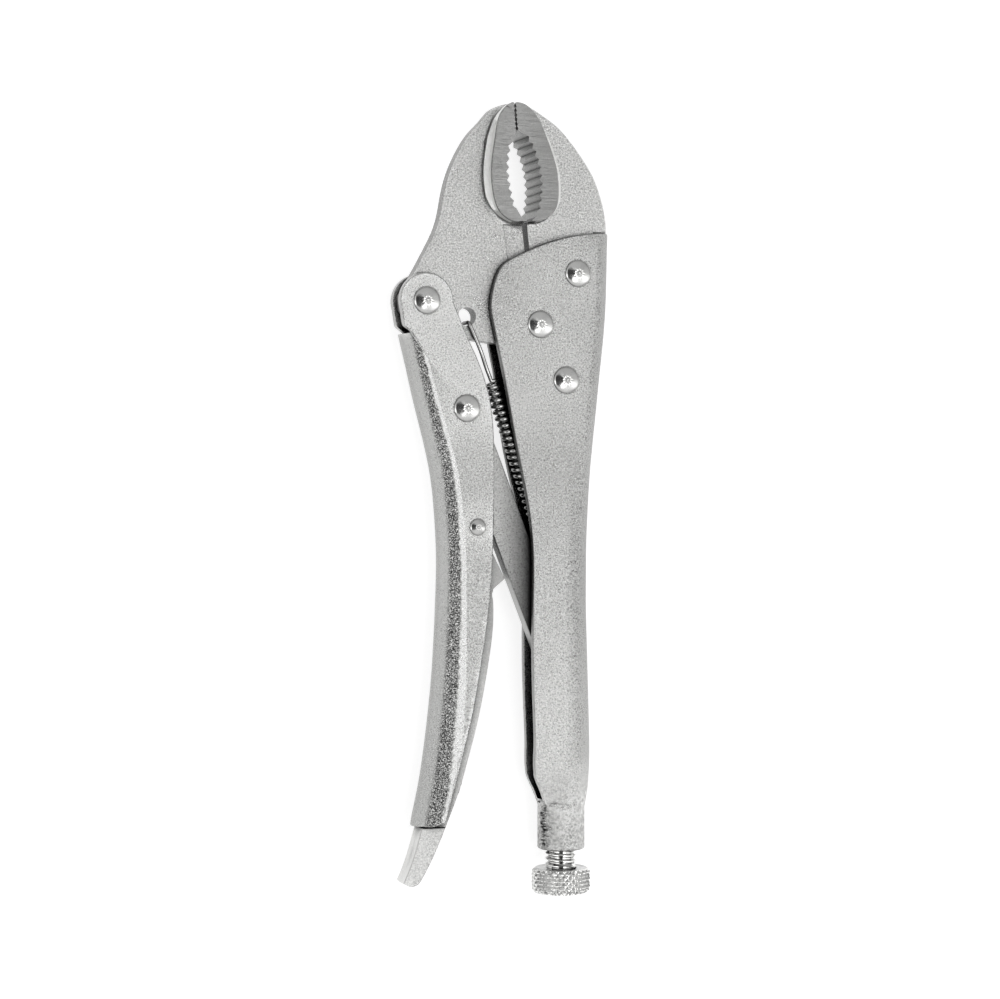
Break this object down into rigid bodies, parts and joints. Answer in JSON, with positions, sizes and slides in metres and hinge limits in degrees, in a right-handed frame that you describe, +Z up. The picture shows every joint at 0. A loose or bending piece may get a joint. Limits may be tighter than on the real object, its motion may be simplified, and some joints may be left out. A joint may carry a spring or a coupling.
{
  "type": "locking pliers",
  "caption": "Curved-jaw locking pliers: toothed jaws, over-centre toggle link, pressed channel handles, release lever, return spring and knurled adjusting screw.",
  "frame": {"origin": "middle of the pliers' outline, on the table they lie on", "axes": "+X from the lever handle towards the fixed handle, +Y along the handles towards the jaws, +Z up through the thickness"},
  "size_m": [0.0708, 0.2494, 0.0188],
  "materials": {
    "plated_sheet": "satin bright plating over bead-blasted pressed sheet",
    "plated_jaw": "satin plating over a forging, gripping faces ground flat",
    "plated_link": "satin plating on a blanked plate",
    "bright_screw": "bright plating, knurled head, rolled thread",
    "spring_wire": "dark drawn spring wire",
    "bright_rivet": "bright domed rivet heads"
  },
  "bodies": {
    "frame": {"fixed_handle": "plated_sheet", "fixed_jaw": "plated_jaw", "upper_jaw_rivet": "bright_rivet", "lower_jaw_rivet": "bright_rivet", "jaw_pivot_rivet": "bright_rivet", "return_spring": "spring_wire"},
    "jaw": {"moving_jaw": "plated_jaw"},
    "lever": {"lever_handle": "plated_sheet", "lever_rivet": "bright_rivet", "link_rivet": "bright_rivet", "trigger_rivet": "bright_rivet"},
    "link": {"toggle_link": "plated_link"},
    "trigger": {"release_lever": "plated_sheet"},
    "screw": {"adjusting_screw": "bright_screw"}
  },
  "joints": [
    {"name": "jaw_pivot", "type": "hinge", "parent": "frame", "child": "jaw", "pos_m": [0.0117, 0.0551, 0.0094], "axis": [0, 0, 1], "range_deg": [0, 15.2], "deforming": ["return_spring"]},
    {"name": "lever_swing", "type": "hinge", "parent": "jaw", "child": "lever", "pos_m": [-0.0259, 0.0616, 0.0094], "axis": [0, 0, -1], "range_deg": [0, 54]},
    {"name": "link_pivot", "type": "hinge", "parent": "lever", "child": "link", "pos_m": [-0.0128, 0.0284, 0.0094], "axis": [0, 0, 1], "range_deg": [0, 56.2]},
    {"name": "release_pull", "type": "hinge", "parent": "lever", "child": "trigger", "pos_m": [-0.0093, -0.0086, 0.0094], "axis": [0, 0, 1], "range_deg": [0, 2.8]},
    {"name": "screw_travel", "type": "slide", "parent": "frame", "child": "screw", "axis": [0, -1, 0], "range_m": [0, 0.02]}
  ],
  "couplings": [
    {"joint": "jaw_pivot", "follows": "lever_swing", "ratio": 0.28},
    {"joint": "link_pivot", "follows": "lever_swing", "ratio": 1.04}
  ]
}
